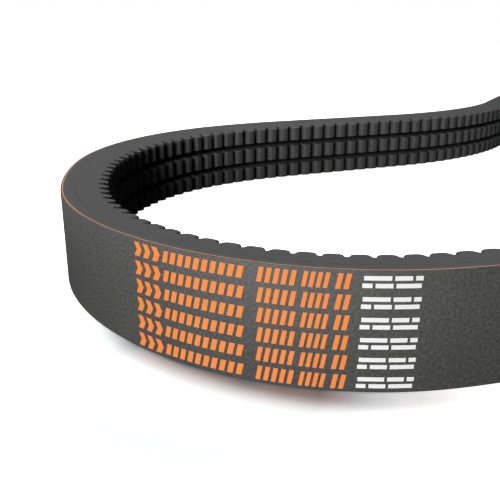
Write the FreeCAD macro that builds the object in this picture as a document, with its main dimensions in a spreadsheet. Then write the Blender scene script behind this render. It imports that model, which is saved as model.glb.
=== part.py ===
import FreeCAD, Part
import Sketcher
import math
import os

# Banded cogged V belt, endless, standing on one cut edge.  Millimetres, +Z up.
#
# The belt is built as it is laid up: full-width plies first, from the smooth back inwards, each one
# sketched section swept round the same closed pitch line, then three cogged ribs edge to edge.  A rib
# is a ring of straight cogs that hinge at the roots of the gaps between them, because that is where a
# cogged belt bends.  The origin is the middle of the loop's footprint, on the surface it stands on.

SIZES = [
    # plies, from the smooth back of the belt inwards
    ("cover_thickness", 0.9),
    ("gum_thickness", 0.7),
    ("tie_thickness", 2.6),
    ("overcord_thickness", 1.8),
    ("cord_thickness", 2.0),
    ("rib_height", 20.0),
    # ribs
    ("rib_pitch", 17.75),
    ("rib_tip_width", 12.6),
    # cogs and the gaps between them
    ("cog_count", 190),
    ("gap_depth", 7.0),
    ("gap_mouth", 5.0),
    # pitch line: its whole length, then each bend in the order it is passed
    ("pitch_length", 2500),
    ("start_heading", 215.2),
    ("front_run_radius", 1493),
    ("front_run_angle", 12),
    ("front_shoulder_radius", 393),
    ("front_shoulder_angle", 10),
    ("front_nose_radius", 153),
    ("front_nose_angle", 43),
    ("front_left_radius", 178),
    ("front_left_angle", 44),
    ("left_end_radius", 333),
    ("left_end_angle", 13.2),
    ("back_left_radius", 206),
    ("back_left_angle", 57),
    ("back_shoulder_radius", 347),
    ("back_shoulder_angle", 11.3),
    ("back_flat_length", 131),
    ("back_hollow_radius", 328),
    ("back_hollow_angle", 37.2),
    ("back_rise_length", 80),
    ("back_right_radius", 165),
    ("back_right_angle", 80),
]

# Worked out from the sizes.  A bottom is a depth from the smooth back, and a reach is the distance
# from a rib's middle plane to its flank at that depth.
LAYOUT = [
    ("cover_bottom", "Sizes.cover_thickness"),
    ("gum_bottom", "cover_bottom + Sizes.gum_thickness"),
    ("tie_bottom", "gum_bottom + Sizes.tie_thickness"),
    ("overcord_bottom", "tie_bottom + Sizes.overcord_thickness"),
    ("cord_bottom", "overcord_bottom + Sizes.cord_thickness"),
    ("tip_depth", "cord_bottom + Sizes.rib_height"),
    ("pitch_depth", "(overcord_bottom + cord_bottom) / 2"),
    ("gap_root", "tip_depth - Sizes.gap_depth"),
    ("tip_reach", "Sizes.rib_tip_width / 2"),
    ("cord_reach", "Sizes.rib_pitch / 2"),
    ("flank_slope", "(cord_reach - tip_reach) / Sizes.rib_height"),
    ("overcord_reach", "cord_reach + Sizes.cord_thickness * flank_slope"),
    ("tie_reach", "overcord_reach + Sizes.overcord_thickness * flank_slope"),
    ("middle", "Sizes.rib_pitch + tie_reach"),
]

doc = FreeCAD.newDocument("banded_v_belt")
sheet = doc.addObject("Spreadsheet::Sheet", "Sizes")
for row, (alias, value) in enumerate(SIZES, start=1):
    sheet.set(f"A{row}", alias)
    sheet.set(f"B{row}", str(value))
    sheet.setAlias(f"B{row}", alias)
doc.recompute()
layout = doc.addObject("App::VarSet", "Layout")
for name, formula in LAYOUT:
    layout.addProperty("App::PropertyFloat", name)
    layout.setExpression(name, formula)
doc.recompute()


def size(alias):
    return float(sheet.get(alias))


# ---- pitch line: tangent arcs and straights, passed clockwise as seen from above
def direction(heading):
    return FreeCAD.Vector(math.cos(heading), math.sin(heading), 0)


def inward(heading):
    """Unit vector from the pitch line towards the inside of the loop."""
    return FreeCAD.Vector(math.sin(heading), -math.cos(heading), 0)


class Run:
    """One stretch of the pitch line.  curvature is positive towards the inside of the loop."""

    def __init__(self, start, heading, length, curvature):
        self.start = start
        self.heading = heading
        self.length = length
        self.curvature = curvature

    def heading_at(self, along):
        return self.heading - self.curvature * along

    def point_at(self, along):
        if self.curvature == 0:
            return self.start + direction(self.heading) * along
        radius = 1 / self.curvature
        centre = self.start + inward(self.heading) * radius
        return centre - inward(self.heading_at(along)) * radius

    def edge(self):
        first = self.point_at(0)
        last = self.point_at(self.length)
        if self.curvature == 0:
            return Part.LineSegment(first, last).toShape()
        return Part.Arc(first, self.point_at(self.length / 2), last).toShape()

    def extremes(self, offset):
        """Points that can bound this stretch, moved inwards by offset."""
        places = [0, self.length]
        if self.curvature != 0:
            quarter = math.pi / 2
            low, high = sorted([self.heading_at(0), self.heading_at(self.length)])
            for turn in range(math.ceil(low / quarter), math.floor(high / quarter) + 1):
                places.append((self.heading - turn * quarter) / self.curvature)
        return [self.point_at(p) + inward(self.heading_at(p)) * offset for p in places]


def add_run(runs, length, curvature):
    last = runs[-1]
    start = last.point_at(last.length)
    runs.append(Run(start, last.heading_at(last.length), length, curvature))


def add_bend(runs, name, sense=1):
    radius = size(name + "_radius")
    turn = math.radians(size(name + "_angle"))
    add_run(runs, radius * turn, sense / radius)


def pitch_line():
    """The bends in order, closed by a straight, one last bend and a straight that meets the start."""
    heading = math.radians(size("start_heading"))
    start = FreeCAD.Vector(0, 0, 0)
    runs = [Run(start, heading, 0, 0)]
    for name in ["front_run", "front_shoulder", "front_nose", "front_left",
                 "left_end", "back_left", "back_shoulder"]:
        add_bend(runs, name)
    add_run(runs, size("back_flat_length"), 0)
    add_bend(runs, "back_hollow", sense=-1)
    add_run(runs, size("back_rise_length"), 0)
    add_bend(runs, "back_right")
    del runs[0]

    # What is left to close: two straights and the bend between them.  The gap along X and Y and the
    # length left over are each a sum of those three lengths, so one matrix gives all three.
    last = runs[-1]
    point = last.point_at(last.length)
    leaving = last.heading_at(last.length)
    turn_left = leaving - (heading - 2 * math.pi)
    gap = start - point
    length_left = size("pitch_length") - sum(run.length for run in runs)
    chord = inward(leaving) - inward(heading)
    lead = direction(leaving)
    tail = direction(heading)
    system = FreeCAD.Matrix(lead.x, tail.x, chord.x, 0,
                            lead.y, tail.y, chord.y, 0,
                            1, 1, turn_left, 0,
                            0, 0, 0, 1)
    closing = system.inverse().multVec(FreeCAD.Vector(gap.x, gap.y, length_left))
    add_run(runs, closing.x, 0)
    add_run(runs, closing.z * turn_left, 1 / closing.z)
    add_run(runs, closing.y, 0)
    print("closing run: straight %.1f, bend radius %.1f, straight %.1f" % (closing.x, closing.z, closing.y))

    # put the middle of the footprint at the origin
    outline = [p for run in runs for p in run.extremes(-layout.pitch_depth)]
    xs = [p.x for p in outline]
    ys = [p.y for p in outline]
    middle = FreeCAD.Vector((min(xs) + max(xs)) / 2, (min(ys) + max(ys)) / 2, 0)
    for run in runs:
        run.start = run.start - middle
    print("footprint %.1f x %.1f" % (max(xs) - min(xs), max(ys) - min(ys)))
    return runs


runs = pitch_line()
path = doc.addObject("Part::Feature", "PitchLine")
path.Shape = Part.Wire([run.edge() for run in runs])
path_edges = [f"Edge{number}" for number in range(1, len(runs) + 1)]

# Section plane across the start of the pitch line: sketch X is the depth from the smooth back, and
# sketch Y is the height above the lower cut edge.
across = FreeCAD.Placement(
    runs[0].start - inward(runs[0].heading) * layout.pitch_depth,
    FreeCAD.Rotation(inward(runs[0].heading), FreeCAD.Vector(0, 0, 1), FreeCAD.Vector(0, 0, 0), "XYZ"))


def section(name, corners):
    """A closed sketch.  Each corner is a pair of expressions: its depth and its height."""
    sketch = doc.addObject("Sketcher::SketchObject", name + "_section")
    sketch.Placement = across
    count = len(corners)
    rough = [direction(2 * math.pi * number / count) for number in range(count)]
    for number in range(count):
        sketch.addGeometry(Part.LineSegment(rough[number - 1], rough[number]))
    for number in range(count):
        sketch.addConstraint(Sketcher.Constraint("Coincident", (number - 1) % count, 2, number, 1))
    for number, (depth, height) in enumerate(corners):
        for kind, expression in [("DistanceX", depth), ("DistanceY", height)]:
            index = sketch.addConstraint(Sketcher.Constraint(kind, -1, 1, number, 2, 1.0))
            label = f"corner{number}_{kind}"
            sketch.renameConstraint(index, label)
            sketch.setExpression("Constraints." + label, expression)
    return sketch


def swept(name, corners):
    """A ply: its section swept once round the pitch line."""
    ply = doc.addObject("Part::Sweep", name)
    ply.Sections = [section(name, corners)]
    ply.Spine = (path, path_edges)
    ply.Solid = True
    ply.Frenet = False
    return ply


def full_ply(name, top, bottom, top_reach="tie_reach", bottom_reach="tie_reach"):
    """A ply right across the belt, from one depth to the next."""
    top_edge = f"(Sizes.rib_pitch + Layout.{top_reach})"
    bottom_edge = f"(Sizes.rib_pitch + Layout.{bottom_reach})"
    return swept(name, [
        (top, "Layout.middle - " + top_edge),
        (bottom, "Layout.middle - " + bottom_edge),
        (bottom, "Layout.middle + " + bottom_edge),
        (top, "Layout.middle + " + top_edge),
    ])


# ---- ribs
def place(distance):
    """Point at a distance along the pitch line."""
    for run in runs:
        if distance <= run.length:
            break
        distance -= run.length
    return run.point_at(distance)


class Cog:
    """A straight cog in plan, from the hinge before it to the hinge after it."""

    def __init__(self, before, start, end, after):
        self.along = (end - start).normalize()
        self.across = FreeCAD.Vector(self.along.y, -self.along.x, 0)
        self.ends = [(start, self.mitre(start - before), 1), (end, self.mitre(after - end), -1)]

    def mitre(self, neighbour):
        """Vector along the joint with a neighbour that gains one unit of depth on both."""
        other = FreeCAD.Vector(neighbour.y, -neighbour.x, 0).normalize()
        return (self.across + other) / (1 + self.across * other)

    def joint(self, end, depth):
        hinge, mitre, _ = self.ends[end]
        return hinge + mitre * (depth - layout.pitch_depth)

    def mouth(self, end):
        """Corner of the crown, half a gap's mouth in from the hinge."""
        hinge, _, sense = self.ends[end]
        half_mouth = size("gap_mouth") / 2 * sense
        return hinge + self.along * half_mouth + self.across * (layout.tip_depth - layout.pitch_depth)

    def outline(self):
        """Corners in plan, each with the rib's reach at its depth."""
        root_reach = layout.tip_reach + size("gap_depth") * layout.flank_slope
        return [
            (self.joint(0, layout.cord_bottom), layout.cord_reach),
            (self.joint(0, layout.gap_root), root_reach),
            (self.mouth(0), layout.tip_reach),
            (self.mouth(1), layout.tip_reach),
            (self.joint(1, layout.gap_root), root_reach),
            (self.joint(1, layout.cord_bottom), layout.cord_reach),
        ]


def cogs():
    count = int(size("cog_count"))
    cog_pitch = size("pitch_length") / count
    hinges = [place((number + 0.5) * cog_pitch) for number in range(count)]
    return [Cog(hinges[n - 1], hinges[n], hinges[(n + 1) % count], hinges[(n + 2) % count])
            for n in range(count)]


def polygon_face(points):
    return Part.Face(Part.makePolygon(points + points[:1]))


def cog_faces(outline, height):
    """Faces of one cog of the rib whose middle plane is at a height: its two flanks, then the gap
    walls, the crown and the base between them.  The joints to the next cogs stay open."""
    lower = [point + FreeCAD.Vector(0, 0, height - reach) for point, reach in outline]
    upper = [point + FreeCAD.Vector(0, 0, height + reach) for point, reach in outline]
    faces = [polygon_face(lower), polygon_face(upper)]
    for here, there in [(1, 2), (2, 3), (3, 4), (5, 0)]:
        faces.append(polygon_face([lower[here], lower[there], upper[there], upper[here]]))
    return faces


def cogged_rib(name, position, outlines):
    """A rib as one closed ring of cogs.  position is -1, 0 or 1, counted from the middle rib upwards."""
    height = layout.middle + position * size("rib_pitch")
    faces = [face for outline in outlines for face in cog_faces(outline, height)]
    shell = Part.Shell(faces)
    shell.sewShape()
    rib = doc.addObject("Part::Feature", name)
    rib.Shape = Part.Solid(shell)
    return rib


# ---- the belt
subparts = [
    full_ply("back_cover", "0", "Layout.cover_bottom"),
    full_ply("gum_ply", "Layout.cover_bottom", "Layout.gum_bottom"),
    full_ply("tie_band_ply", "Layout.gum_bottom", "Layout.tie_bottom"),
    full_ply("overcord_rubber", "Layout.tie_bottom", "Layout.overcord_bottom", "tie_reach", "overcord_reach"),
    full_ply("tensile_cord_ply", "Layout.overcord_bottom", "Layout.cord_bottom", "overcord_reach", "cord_reach"),
]
outlines = [cog.outline() for cog in cogs()]
subparts += [
    cogged_rib("lower_cogged_rib", -1, outlines),
    cogged_rib("middle_cogged_rib", 0, outlines),
    cogged_rib("upper_cogged_rib", 1, outlines),
]

doc.recompute()
for thing in doc.Objects:
    if "Invalid" in thing.State or "Error" in thing.State:
        raise RuntimeError(f"{thing.Label} failed to build: {thing.State}")
os.makedirs("parts", exist_ok=True)
for piece in subparts:
    shape = piece.Shape
    if shape.isNull() or not shape.isValid() or len(shape.Solids) != 1:
        raise RuntimeError(f"{piece.Label} is not one valid solid")
    print("%-24s %9.0f mm3" % (piece.Label, shape.Volume))
for piece in subparts:
    piece.Shape.exportStep(f"parts/{piece.Label}.step")
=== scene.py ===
import bmesh
import bpy
import math
from bisect import bisect_right
from mathutils import Matrix, Vector
from mathutils.kdtree import KDTree


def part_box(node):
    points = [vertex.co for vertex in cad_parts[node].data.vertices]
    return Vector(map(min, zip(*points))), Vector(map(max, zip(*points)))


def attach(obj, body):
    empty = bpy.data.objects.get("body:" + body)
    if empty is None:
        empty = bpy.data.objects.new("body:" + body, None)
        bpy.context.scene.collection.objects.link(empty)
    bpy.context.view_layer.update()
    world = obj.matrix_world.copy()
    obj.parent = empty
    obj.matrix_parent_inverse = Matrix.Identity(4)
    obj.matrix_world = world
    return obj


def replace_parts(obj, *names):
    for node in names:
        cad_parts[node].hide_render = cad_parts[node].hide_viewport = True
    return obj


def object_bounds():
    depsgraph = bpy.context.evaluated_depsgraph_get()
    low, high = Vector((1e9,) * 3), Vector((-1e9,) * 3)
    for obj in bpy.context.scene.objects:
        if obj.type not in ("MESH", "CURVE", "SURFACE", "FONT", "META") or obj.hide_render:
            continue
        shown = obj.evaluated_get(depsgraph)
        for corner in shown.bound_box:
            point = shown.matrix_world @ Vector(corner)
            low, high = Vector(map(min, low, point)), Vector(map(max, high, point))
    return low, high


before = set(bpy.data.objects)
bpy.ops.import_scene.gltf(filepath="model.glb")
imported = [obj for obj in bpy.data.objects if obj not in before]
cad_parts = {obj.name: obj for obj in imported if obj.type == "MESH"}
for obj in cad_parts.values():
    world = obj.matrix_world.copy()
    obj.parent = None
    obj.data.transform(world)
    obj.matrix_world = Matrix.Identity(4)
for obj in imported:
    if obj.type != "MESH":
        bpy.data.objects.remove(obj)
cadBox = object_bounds()
low, high = cadBox
foot, top = low.z, high.z
print("frame loaded")


# the line that the belt follows, read from the foot of the smooth back
lineWish = {"step": 0.02, "fineness": 4, "wallLevel": 0.5}
weldGap = 1e-5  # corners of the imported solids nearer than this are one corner


def nodeMesh(node):
    bm = bmesh.new()
    bm.from_mesh(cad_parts[node].data)
    bmesh.ops.remove_doubles(bm, verts=bm.verts, dist=weldGap)
    return bm


def isFootEdge(edge):
    # an edge of the foot where an upright wall starts
    atFoot = all(abs(vert.co.z - foot) < weldGap for vert in edge.verts)
    return atFoot and any(abs(face.normal.z) < lineWish["wallLevel"] for face in edge.link_faces)


def footLine():
    # a walk round the outer edge of the foot, from its far right end and then left along the front
    bm = nodeMesh("back_cover")
    edges = [edge for edge in bm.edges if isFootEdge(edge)]
    start = max((vert for edge in edges for vert in edge.verts), key=lambda vert: vert.co.x)
    here = start
    edge = min((e for e in here.link_edges if e in edges), key=lambda e: e.other_vert(here).co.y)
    points = []
    while not points or here != start:
        ahead = edge.other_vert(here)
        pieces = max(1, round(edge.calc_length() / lineWish["step"]))
        points += [here.co.lerp(ahead.co, n / pieces) for n in range(pieces)]
        here = ahead
        edge = next(e for e in here.link_edges if e in edges and e is not edge)
    bm.free()
    return points


footPoints = footLine()


def pathCurve():
    curve = bpy.data.curves.new("beltPath", "CURVE")
    curve.dimensions = "3D"
    curve.twist_mode = "Z_UP"
    curve.resolution_u = lineWish["fineness"]
    spline = curve.splines.new("BEZIER")
    spline.bezier_points.add(len(footPoints) - 1)
    for knot, point in zip(spline.bezier_points, footPoints):
        knot.co = point
        knot.handle_left_type = "AUTO"
        knot.handle_right_type = "AUTO"
    spline.use_cyclic_u = True
    return curve


def curveMesh(curve, profile=None):
    carrier = bpy.data.objects.new("carrier", curve)
    bpy.context.scene.collection.objects.link(carrier)
    if profile:
        bpy.context.scene.collection.objects.link(profile)
        curve.bevel_mode = "OBJECT"
        curve.bevel_object = profile
    bpy.context.view_layer.update()
    shaped = carrier.evaluated_get(bpy.context.evaluated_depsgraph_get())
    mesh = bpy.data.meshes.new_from_object(shaped)
    bpy.data.objects.remove(carrier)
    if profile:
        bpy.data.objects.remove(profile)
    return mesh


stations = [vert.co.xy.to_3d() for vert in curveMesh(pathCurve()).vertices]
travelled = [0.0]
for here, ahead in zip(stations, stations[1:] + stations[:1]):
    travelled.append(travelled[-1] + (ahead - here).length)
beltLength = travelled.pop()
stationTree = KDTree(len(stations))
for index, station in enumerate(stations):
    stationTree.insert(station, index)
stationTree.balance()


def inwardAt(index):
    step = stations[(index + 1) % len(stations)] - stations[index - 1]
    return Vector((step.y, -step.x, 0)).normalized()


def beltPlace(point):
    # distance along the belt, depth from the smooth back, height
    flat = point.xy.to_3d()
    _, index, _ = stationTree.find(flat)
    offset = flat - stations[index]
    inward = inwardAt(index)
    run = Vector((-inward.y, inward.x, 0))
    along = (travelled[index] + offset.dot(run)) % beltLength
    return Vector((along, offset.dot(inward), point.z))


def pointAt(along, depth, height):
    # the place in the scene for a distance along the belt, a depth and a height
    along %= beltLength
    index = bisect_right(travelled, along) - 1
    nextIndex = (index + 1) % len(stations)
    reach = (travelled[nextIndex] or beltLength) - travelled[index]
    share = (along - travelled[index]) / reach
    base = stations[index].lerp(stations[nextIndex], share)
    inward = inwardAt(index).lerp(inwardAt(nextIndex), share).normalized()
    return base + inward * depth + Vector((0, 0, height))


# at the far right, inwards is to the left
assert inwardAt(0).x < 0, "the line runs the wrong way round"
leftEnd = beltPlace(Vector((low.x, min(stations, key=lambda s: s.x).y, 0))).x
print("belt line", round(beltLength, 4), "left end at", round(leftEnd, 4))


# every piece of the belt is finished alike
pieceWish = {"sharpAngle": 35, "cutLevel": 0.9}


def markCutFaces(bm):
    # faces that look up or down, or nearly so, were cut, and take the second material
    for face in bm.faces:
        face.material_index = int(abs(face.normal.z) > pieceWish["cutLevel"])


def storeBeltPlaces(mesh):
    # every corner knows its place on the belt, so that patterns can follow the band
    place = mesh.attributes.new("beltPlace", "FLOAT_VECTOR", "CORNER")
    known = [beltPlace(vert.co) for vert in mesh.vertices]
    for face in mesh.polygons:
        corners = [known[index].copy() for index in face.vertices]
        acrossStart = max(c.x for c in corners) - min(c.x for c in corners) > beltLength / 2
        for loop, corner in zip(face.loop_indices, corners):
            if acrossStart and corner.x < beltLength / 2:
                corner.x += beltLength
            place.data[loop].vector = corner


def addPiece(name, mesh, materials):
    for face in mesh.polygons:
        face.use_smooth = True
    mesh.set_sharp_from_angle(angle=math.radians(pieceWish["sharpAngle"]))
    for material in materials:
        mesh.materials.append(material)
    storeBeltPlaces(mesh)
    piece = bpy.data.objects.new(name, mesh)
    bpy.context.scene.collection.objects.link(piece)
    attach(piece, "root")
    return piece


# shader groups
def nodeOf(graph, kind, **values):
    node = graph.nodes.new(kind)
    for name, value in values.items():
        setattr(node, name, value)
    return node


def feed(graph, node, **sources):
    # sockets by name (or number, as _0), from a value or from another socket
    for name, source in sources.items():
        socket = node.inputs[int(name[1:]) if name[0] == "_" else name.replace("_", " ")]
        if isinstance(source, bpy.types.NodeSocket):
            graph.links.new(source, socket)
        else:
            socket.default_value = source
    return node


def maths(graph, operation, *values, kind="ShaderNodeMath"):
    node = nodeOf(graph, kind, operation=operation)
    return feed(graph, node, **{f"_{n}": value for n, value in enumerate(values)}).outputs[0]


def noise(graph, place, scale, detail, roughness):
    node = nodeOf(graph, "ShaderNodeTexNoise")
    return feed(graph, node, Vector=place, Scale=scale, Detail=detail, Roughness=roughness).outputs["Fac"]


def scaled(graph, colour, gain):
    node = nodeOf(graph, "ShaderNodeVectorMath", operation="SCALE")
    return feed(graph, node, _0=colour, Scale=gain).outputs[0]


def storedPlace(graph):
    return nodeOf(graph, "ShaderNodeAttribute", attribute_name="beltPlace").outputs["Vector"]


def newGroup(name, inputs, outputs):
    group = bpy.data.node_groups.new(name, "ShaderNodeTree")
    for direction, sockets in (("INPUT", inputs), ("OUTPUT", outputs)):
        for label, kind in sockets.items():
            group.interface.new_socket(label, in_out=direction, socket_type="NodeSocket" + kind)
    return group, group.nodes.new("NodeGroupInput"), group.nodes.new("NodeGroupOutput")


grainWish = {"detail": 3, "roughness": 0.6, "cloudScale": 45, "cloudRoughness": 0.55,
             "streakStretch": (12, 900, 900), "streakDetail": 2, "streakRoughness": 0.5}


def makeGrainGroup():
    # speckle, slow clouds and streaks that run with the belt
    inputs = {"Colour": "Color", "Grain Scale": "Float", "Speckle": "Float", "Clouds": "Float",
              "Streaks": "Float"}
    group, entry, leave = newGroup("rubberGrain", inputs, {"Colour": "Color", "Height": "Float"})
    place = storedPlace(group)
    drawnOut = maths(group, "MULTIPLY", place, grainWish["streakStretch"], kind="ShaderNodeVectorMath")
    grain = noise(group, place, entry.outputs["Grain Scale"], grainWish["detail"], grainWish["roughness"])
    clouds = noise(group, place, grainWish["cloudScale"], grainWish["detail"], grainWish["cloudRoughness"])
    streaks = noise(group, drawnOut, 1.0, grainWish["streakDetail"], grainWish["streakRoughness"])
    total = 1.0
    for pattern, strength in [(grain, "Speckle"), (clouds, "Clouds"), (streaks, "Streaks")]:
        swing = maths(group, "SUBTRACT", pattern, 0.5)  # noise swings around a half
        part = maths(group, "MULTIPLY", swing, entry.outputs[strength])
        total = maths(group, "ADD", part, total)
    feed(group, leave, Colour=scaled(group, entry.outputs["Colour"], total), Height=grain)
    return group


def makeKnurlGroup():
    # the small diamonds that the mould's fabric leaves on the cogs
    group, entry, leave = newGroup("mouldKnurl", {"Pitch": "Float"}, {"Height": "Float"})
    split = feed(group, nodeOf(group, "ShaderNodeSeparateXYZ"), Vector=storedPlace(group))
    waves = []
    for operation in ("ADD", "SUBTRACT"):
        slant = maths(group, operation, split.outputs["X"], split.outputs["Z"])
        turns = maths(group, "DIVIDE", slant, entry.outputs["Pitch"])
        wave = maths(group, "SINE", maths(group, "MULTIPLY", turns, math.pi))
        waves.append(maths(group, "ABSOLUTE", wave))
    feed(group, leave, Height=maths(group, "MULTIPLY", *waves))
    return group


grainGroup = makeGrainGroup()
knurlGroup = makeKnurlGroup()


# rubbers: grainScale is per metre, knurl is the diamonds' width, and the depths count from the smooth back
bumpDistance = 0.0003
backLook = {"colour": (0.065, 0.0635, 0.062), "roughness": 0.7, "gloss": 1.0, "grainScale": 750,
            "speckle": 2.8, "clouds": 0.25, "streaks": 0.1, "bump": 0.3}
cutLook = {"colour": (0.057, 0.057, 0.057), "roughness": 0.8, "gloss": 0.15, "grainScale": 700,
           "speckle": 0.15, "clouds": 0.1, "streaks": 0.16, "bump": 0.1}
cogLook = {"colour": (0.09, 0.09, 0.09), "roughness": 0.65, "gloss": 0.3, "grainScale": 900,
           "speckle": 0.5, "clouds": 0.2, "streaks": 0.0, "bump": 0.5, "knurl": 0.002, "knurlShade": 0.8,
           "paintedGapShade": 0.25, "rootDepth": 0.0225, "crownDepth": 0.0275}
gumLook = {"colour": (0.34, 0.17, 0.095), "roughness": 0.7, "gloss": 0.2, "grainScale": 900,
           "speckle": 0.4, "clouds": 0.4, "streaks": 0.2, "bump": 0.2}


def knurled(graph, look, height, colour):
    # diamonds on the cogs, and painted shade that darkens the roots of the gaps between them
    group = nodeOf(graph, "ShaderNodeGroup", node_tree=knurlGroup)
    knurl = feed(graph, group, Pitch=look["knurl"]).outputs["Height"]
    shade = feed(graph, nodeOf(graph, "ShaderNodeMapRange"), Value=knurl,
                 To_Min=1 - look["knurlShade"], To_Max=1 + look["knurlShade"])
    split = feed(graph, nodeOf(graph, "ShaderNodeSeparateXYZ"), Vector=storedPlace(graph))
    # painted shade: the colour darkens from the crowns down to the gap roots, where little light reaches
    sunk = feed(graph, nodeOf(graph, "ShaderNodeMapRange"), Value=split.outputs["Y"],
                From_Min=look["rootDepth"], From_Max=look["crownDepth"], To_Min=look["paintedGapShade"], To_Max=1.0)
    colour = scaled(graph, scaled(graph, colour, shade.outputs["Result"]), sunk.outputs["Result"])
    return maths(graph, "ADD", height, knurl), colour


def rubber(name, look):
    material = bpy.data.materials.new(name)
    material.use_nodes = True
    graph = material.node_tree
    shader = graph.nodes["Principled BSDF"]
    feed(graph, shader, Roughness=look["roughness"], Specular_IOR_Level=look["gloss"])
    grain = nodeOf(graph, "ShaderNodeGroup", node_tree=grainGroup)
    feed(graph, grain, Colour=(*look["colour"], 1), Grain_Scale=look["grainScale"], Speckle=look["speckle"],
         Clouds=look["clouds"], Streaks=look["streaks"])
    height, colour = grain.outputs["Height"], grain.outputs["Colour"]
    if "knurl" in look:
        height, colour = knurled(graph, look, height, colour)
    bump = feed(graph, nodeOf(graph, "ShaderNodeBump"), Strength=look["bump"], Distance=bumpDistance,
                Height=height)
    feed(graph, shader, Normal=bump.outputs["Normal"], Base_Color=colour)
    return material


backRubber = rubber("backRubber", backLook)
cutRubber = rubber("cutRubber", cutLook)
cogRubber = rubber("cogRubber", cogLook)
orangeGum = rubber("orangeGum", gumLook)
print("materials made")


# plies of the band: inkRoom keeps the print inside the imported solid
plyWish = {"inkRoom": 0.00005, "edgeRound": 0.0004, "roundShare": 0.3, "weld": 1e-6}


def depthOf(node):
    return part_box(node)[0].x - low.x


gumTop, tieTop, overTop = depthOf("gum_ply"), depthOf("tie_band_ply"), depthOf("overcord_rubber")
cordTop, ribTop = depthOf("tensile_cord_ply"), depthOf("middle_cogged_rib")
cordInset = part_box("tensile_cord_ply")[0].z - foot
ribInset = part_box("lower_cogged_rib")[0].z - foot
print("depths", [round(d * 1000, 2) for d in (gumTop, tieTop, overTop, cordTop, ribTop)])


def coverSection():
    # corners are (depth from the smooth back, height), here with the outer two rounded
    outer, edge = plyWish["inkRoom"], plyWish["edgeRound"]
    bow = edge * plyWish["roundShare"]
    return [(gumTop, foot), (outer + edge, foot), (outer + bow, foot + bow), (outer, foot + edge),
            (outer, top - edge), (outer + bow, top - bow), (outer + edge, top), (gumTop, top)]


def plainSection(outer, inner, outerInset=0.0, innerInset=0.0):
    return [(outer, foot + outerInset), (outer, top - outerInset), (inner, top - innerInset),
            (inner, foot + innerInset)]


def ply(name, node, materials, corners):
    curve = bpy.data.curves.new(name + "Profile", "CURVE")
    curve.dimensions = "2D"
    spline = curve.splines.new("POLY")
    spline.points.add(len(corners) - 1)
    for knot, (depth, height) in zip(spline.points, corners):
        knot.co = (depth, height, 0, 1)
    spline.use_cyclic_u = True
    mesh = curveMesh(pathCurve(), bpy.data.objects.new(name + "Profile", curve))
    bm = bmesh.new()
    bm.from_mesh(mesh)
    bmesh.ops.remove_doubles(bm, verts=bm.verts, dist=plyWish["weld"])
    bmesh.ops.recalc_face_normals(bm, faces=bm.faces)
    if len(materials) > 1:
        markCutFaces(bm)
    bm.to_mesh(mesh)
    bm.free()
    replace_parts(addPiece(name, mesh, materials), node)


ply("smoothBack", "back_cover", [backRubber, cutRubber], coverSection())
ply("orangeGumLayer", "gum_ply", [orangeGum], plainSection(gumTop, tieTop))
ply("tieBand", "tie_band_ply", [cutRubber], plainSection(tieTop, overTop))
ply("overcordLayer", "overcord_rubber", [cutRubber],
    plainSection(overTop, cordTop, 0.0, cordInset))
ply("cordLayer", "tensile_cord_ply", [cutRubber],
    plainSection(cordTop, ribTop, cordInset, ribInset))
print("plies swept")


# cogged ribs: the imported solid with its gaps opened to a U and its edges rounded; taperFrom and taperTo
# are distances from the left end, and a reach is half the width of a rib at some depth
cogWish = {"floorOffset": 0.0016, "floorSpread": 0.0004, "floorRound": 0.0004, "mouthRound": 0.0026,
           "pointRound": 0.0010, "edgeRound": 0.0004, "taper": 0.36, "taperFrom": 0.10, "taperTo": 0.2,
           "flatAngle": 0.3, "reachPlay": 0.0003, "flankLevel": 0.7}


def atReach(edge, middle, reach):
    return all(abs(abs(vert.co.z - middle) - reach) < cogWish["reachPlay"] for vert in edge.verts)


def rise(edge):
    return abs(edge.verts[0].co.z - edge.verts[1].co.z)


def edgesAcross(bm, middle, reach):
    # the edges that run from flank to flank at one depth
    return [edge for edge in bm.edges if atReach(edge, middle, reach) and rise(edge) > reach]


def rounded(bm, edges, offset, segments):
    return bmesh.ops.bevel(bm, geom=edges, offset=offset, segments=segments, affect="EDGES",
                           profile=0.5, material=-1)["faces"]


def openGaps(bm, middle, tipReach, rootReach):
    # each sharp root becomes a floor, a little wider than the bevel leaves it
    floorEdges = []
    for face in rounded(bm, edgesAcross(bm, middle, rootReach), cogWish["floorOffset"], 1):
        centre = face.calc_center_median()
        sides = [edge for edge in face.edges if rise(edge) > tipReach]
        for edge in sides:
            outward = ((edge.verts[0].co + edge.verts[1].co) / 2 - centre).normalized()
            bmesh.ops.translate(bm, vec=outward * cogWish["floorSpread"], verts=edge.verts)
        floorEdges += sides
    rounded(bm, floorEdges, cogWish["floorRound"], 2)


def crownShare(edge):
    # the share of its crown that a cog loses at each side: none, but around the left end
    away = abs(beltPlace(edge.verts[0].co).x - leftEnd)
    fade = (cogWish["taperTo"] - away) / (cogWish["taperTo"] - cogWish["taperFrom"])
    return cogWish["taper"] * min(1, max(0, fade))


def roundCrowns(bm, middle, tipReach):
    blunt, tapered, places = [], [], {}
    for edge in edgesAcross(bm, middle, tipReach):
        share = crownShare(edge)
        (tapered if share else blunt).append(edge)
        for vert in edge.verts:
            crown = next(e for e in vert.link_edges if e is not edge and atReach(e, middle, tipReach))
            places[vert] = vert.co.lerp(crown.other_vert(vert).co, share)
    for vert, place in places.items():
        vert.co = place
    rounded(bm, blunt, cogWish["mouthRound"], 4)
    rounded(bm, tapered, cogWish["pointRound"], 3)


def softenRim(bm, middle, topReach):
    # the line where the cogs and gaps meet the flanks
    rim = []
    for edge in bm.edges:
        flanks = sum(abs(face.normal.z) > cogWish["flankLevel"] for face in edge.link_faces)
        if len(edge.link_faces) == 2 and flanks == 1 and not atReach(edge, middle, topReach):
            rim.append(edge)
    rounded(bm, rim, cogWish["edgeRound"], 1)


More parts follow.
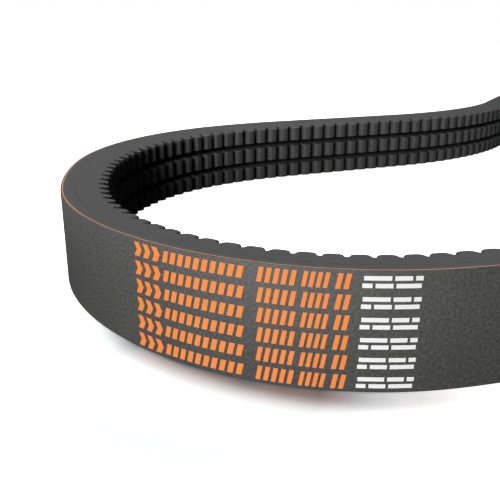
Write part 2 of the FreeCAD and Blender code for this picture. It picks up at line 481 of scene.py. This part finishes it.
def coggedRib(name, node):
    nodeLow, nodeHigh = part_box(node)
    middle = (nodeLow.z + nodeHigh.z) / 2
    bm = nodeMesh(node)
    flat = math.radians(cogWish["flatAngle"])
    bmesh.ops.dissolve_limit(bm, angle_limit=flat, verts=bm.verts, edges=bm.edges)
    reaches = sorted({round(abs(vert.co.z - middle), 4) for vert in bm.verts})
    tipReach, rootReach, topReach = reaches[0], reaches[1], reaches[-1]
    openGaps(bm, middle, tipReach, rootReach)
    roundCrowns(bm, middle, tipReach)
    softenRim(bm, middle, topReach)
    markCutFaces(bm)
    mesh = bpy.data.meshes.new(name)
    bm.to_mesh(mesh)
    openEdges = sum(not edge.is_manifold for edge in bm.edges)
    print(node, "reaches", tipReach, rootReach, topReach, "faces", len(bm.faces), "open edges", openEdges)
    bm.free()
    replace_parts(addPiece(name, mesh, [cogRubber, cutRubber]), node)
    for face in mesh.polygons:
        face.use_smooth = face.material_index == 0


for level in ("lower", "middle", "upper"):
    coggedRib(level + "Rib", level + "_cogged_rib")
print("ribs made")


# plain marks printed on the back in rows; from is the distance along the belt from the loop's left end
printWish = {"rows": 6, "rowPitch": 0.00896, "step": 0.0022, "sink": 0.0003, "gap": 0.0012,
             "slant": 0.0012, "chevronSlant": 0.00168, "lineTall": 0.0019,
             "chevrons": {"from": 0.2015, "count": 3, "pitch": 0.0056, "width": 0.0032, "tall": 0.0066},
             "bars": [{"from": 0.2195, "count": 10, "pitch": 0.0041, "width": 0.0026, "tall": 0.0054},
                      {"from": 0.2655, "count": 5, "pitch": 0.0034, "width": 0.0020, "tall": 0.0066},
                      {"from": 0.2840, "count": 4, "pitch": 0.0029, "width": 0.0017, "tall": 0.0066},
                      {"from": 0.2975, "count": 2, "pitch": 0.0033, "width": 0.0020, "tall": 0.0066}],
             "lines": [{"from": 0.3080, "long": (0.011, 0.007, 0.003), "rise": 0.0016},
                       {"from": 0.3075, "long": (0.004, 0.007, 0.010), "rise": -0.0016}]}
orangeInkLook = {"colour": (1.0, 0.29, 0.065), "roughness": 0.5, "gloss": 0.3, "grainScale": 1400,
                 "speckle": 0.25, "clouds": 0.1, "streaks": 0.0, "bump": 0.05}
whiteInkLook = {"colour": (1.0, 1.0, 1.0), "roughness": 0.5, "gloss": 0.3, "grainScale": 1400,
                "speckle": 0.15, "clouds": 0.1, "streaks": 0.0, "bump": 0.05}


def markOn(bm, distance, middle, width, tall, slant=0.0, pointed=False):
    # one mark, bent to the back of the belt and sunk a little into the rubber
    grid = bmesh.ops.create_grid(bm, x_segments=max(1, round(width / printWish["step"])),
                                 y_segments=2 if pointed else 1, size=0.5)["verts"]
    faces = {face for vert in grid for face in vert.link_faces}
    bmesh.ops.scale(bm, vec=(width, tall, 1), verts=grid)
    for vert in grid:
        lean = 1 - 2 * abs(vert.co.y) / tall if pointed else vert.co.y / tall
        vert.co.x += slant * lean
    extruded = bmesh.ops.extrude_face_region(bm, geom=list(faces))["geom"]
    sunk = [part for part in extruded if isinstance(part, bmesh.types.BMVert)]
    for verts, depth in ((grid, 0.0), (sunk, printWish["sink"])):
        for vert in verts:
            along = leftEnd - distance - width / 2 - vert.co.x
            vert.co = pointAt(along, depth, middle + vert.co.y)


def rowOfMarks(bm, middle, wish, slant, pointed=False):
    for n in range(wish["count"]):
        markOn(bm, wish["from"] + n * wish["pitch"], middle, wish["width"], wish["tall"], slant, pointed)


def orangeRow(bm, middle):
    rowOfMarks(bm, middle, printWish["chevrons"], printWish["chevronSlant"], pointed=True)
    for wish in printWish["bars"]:
        rowOfMarks(bm, middle, wish, printWish["slant"])


def whiteRow(bm, middle):
    for wish in printWish["lines"]:
        distance = wish["from"]
        for long in wish["long"]:
            markOn(bm, distance, middle + wish["rise"], long, printWish["lineTall"])
            distance += long + printWish["gap"]


def printPiece(name, material, drawRow):
    bm = bmesh.new()
    for row in range(printWish["rows"]):
        drawRow(bm, (foot + top) / 2 + (row - (printWish["rows"] - 1) / 2) * printWish["rowPitch"])
    bmesh.ops.recalc_face_normals(bm, faces=bm.faces)
    mesh = bpy.data.meshes.new(name)
    bm.to_mesh(mesh)
    bm.free()
    addPiece(name, mesh, [material])


printPiece("orangePrint", rubber("orangeInk", orangeInkLook), orangeRow)
printPiece("whitePrint", rubber("whiteInk", whiteInkLook), whiteRow)
print("back printed")


# floor: the camera sees it glow, a painted light that whitens the belt's shadow away but for a shade before
# the left end that fades over shadeReach, with a faint painted tint, shadeTint, in that shade; bounce is its
# colour for all rays but the camera's, and lean turns its normal to the lamp behind the belt
floorWish = {"size": 12.0, "drop": 0.0001, "colour": (0.77, 0.815, 0.83), "bounce": (0.02, 0.02, 0.02),
             "lean": (0, 0.31, 0.95), "shadeAt": (-0.339, -0.385, 0), "shadeReach": (0.05, 0.125),
             "glow": (1.22, 1.13, 1.1), "shadeTint": (0, 0.018, 0.028)}


def floorPaint():
    paint = bpy.data.materials.new("studioWhite")
    paint.use_nodes = True
    graph = paint.node_tree
    shader = graph.nodes["Principled BSDF"]
    feed(graph, shader, Roughness=1.0, Specular_IOR_Level=0.0)
    place = nodeOf(graph, "ShaderNodeTexCoord").outputs["Object"]
    away = feed(graph, nodeOf(graph, "ShaderNodeVectorMath", operation="DISTANCE"), _0=place,
                _1=floorWish["shadeAt"]).outputs["Value"]
    shadeStart, shadeEnd = floorWish["shadeReach"]
    ramp = feed(graph, nodeOf(graph, "ShaderNodeMapRange"), Value=away, From_Min=shadeStart,
                From_Max=shadeEnd).outputs["Result"]
    # painted light: the glow grows with distance from shadeAt and hides the real shadow there, and shadeTint
    # tints the shade
    glow = maths(graph, "MULTIPLY_ADD", ramp, floorWish["glow"], floorWish["shadeTint"],
                 kind="ShaderNodeVectorMath")
    cameraRay = nodeOf(graph, "ShaderNodeLightPath").outputs["Is Camera Ray"]
    # a colour mix has its factor, first and second colour at 0, 6 and 7, and its result at 2
    pale = feed(graph, nodeOf(graph, "ShaderNodeMix", data_type="RGBA"), _0=cameraRay,
                _6=(*floorWish["bounce"], 1), _7=(*floorWish["colour"], 1)).outputs[2]
    leanX, leanY, leanZ = floorWish["lean"]
    lean = feed(graph, nodeOf(graph, "ShaderNodeCombineXYZ"), X=leanX, Y=leanY, Z=leanZ).outputs[0]
    feed(graph, shader, Emission_Color=glow, Emission_Strength=cameraRay, Base_Color=pale, Normal=lean)
    return paint


def layFloor():
    mesh = bpy.data.meshes.new("floor")
    bm = bmesh.new()
    bmesh.ops.create_grid(bm, x_segments=1, y_segments=1, size=floorWish["size"] / 2)
    bm.to_mesh(mesh)
    bm.free()
    mesh.materials.append(floorPaint())
    floor = bpy.data.objects.new("floor", mesh)
    floor.location.z = foot - floorWish["drop"]
    bpy.context.scene.collection.objects.link(floor)


layFloor()

# world: white to the camera, with little light of its own
skyWish = {"fill": 0.012, "seen": 1.0}
world = bpy.data.worlds.new("studio")
world.use_nodes = True
bpy.context.scene.world = world
skyGraph = world.node_tree
skyRay = nodeOf(skyGraph, "ShaderNodeLightPath").outputs["Is Camera Ray"]
skyLevel = feed(skyGraph, nodeOf(skyGraph, "ShaderNodeMapRange"), Value=skyRay, To_Min=skyWish["fill"],
                To_Max=skyWish["seen"])
feed(skyGraph, skyGraph.nodes["Background"], Color=(1, 1, 1, 1), Strength=skyLevel.outputs["Result"])

# lamps: the rear one has no glare, which would whiten the cut face
lampWish = {
    "key": {"place": (-1.5, -2.86, 0.85), "aim": (-0.1, -0.1, 0.03), "size": 1.4, "power": 92,
            "glare": True},
    "top": {"place": (-0.6, 0.06, 1.75), "aim": (-0.3, -0.3, 0), "size": 0.45, "power": 39,
            "glare": True},
    "rear": {"place": (0.25, 3.2, 0.5), "aim": (0, 0.1, 0.03), "size": 1.4, "power": 50,
             "glare": False},
}


def hangLamp(name, wish):
    lamp = bpy.data.lights.new(name, "AREA")
    lamp.size = wish["size"]
    lamp.energy = wish["power"]
    holder = bpy.data.objects.new(name, lamp)
    holder.location = wish["place"]
    holder.visible_glossy = wish["glare"]
    holder.rotation_euler = (Vector(wish["aim"]) - holder.location).to_track_quat("-Z", "Y").to_euler()
    bpy.context.scene.collection.objects.link(holder)


for lampName, wish in lampWish.items():
    hangLamp(lampName, wish)

# camera: turn is about the upright, tilt is below level, and roll is about the line of sight
cameraWish = {"place": (-0.3127, -0.6273, 0.1436), "lens": 46.5, "near": 0.01, "turn": 1.45, "tilt": 19.02,
              "roll": 0.22}


def setCamera():
    camera = bpy.data.objects.new("camera", bpy.data.cameras.new("camera"))
    camera.data.lens = cameraWish["lens"]
    camera.data.clip_start = cameraWish["near"]
    camera.location = cameraWish["place"]
    aim = (Matrix.Rotation(math.radians(cameraWish["turn"]), 3, "Z")
           @ Matrix.Rotation(math.radians(90 - cameraWish["tilt"]), 3, "X")
           @ Matrix.Rotation(math.radians(cameraWish["roll"]), 3, "Z"))
    camera.rotation_euler = aim.to_euler()
    bpy.context.scene.collection.objects.link(camera)
    bpy.context.scene.camera = camera


setCamera()
bpy.context.scene.view_settings.view_transform = "Standard"
print("stage set")
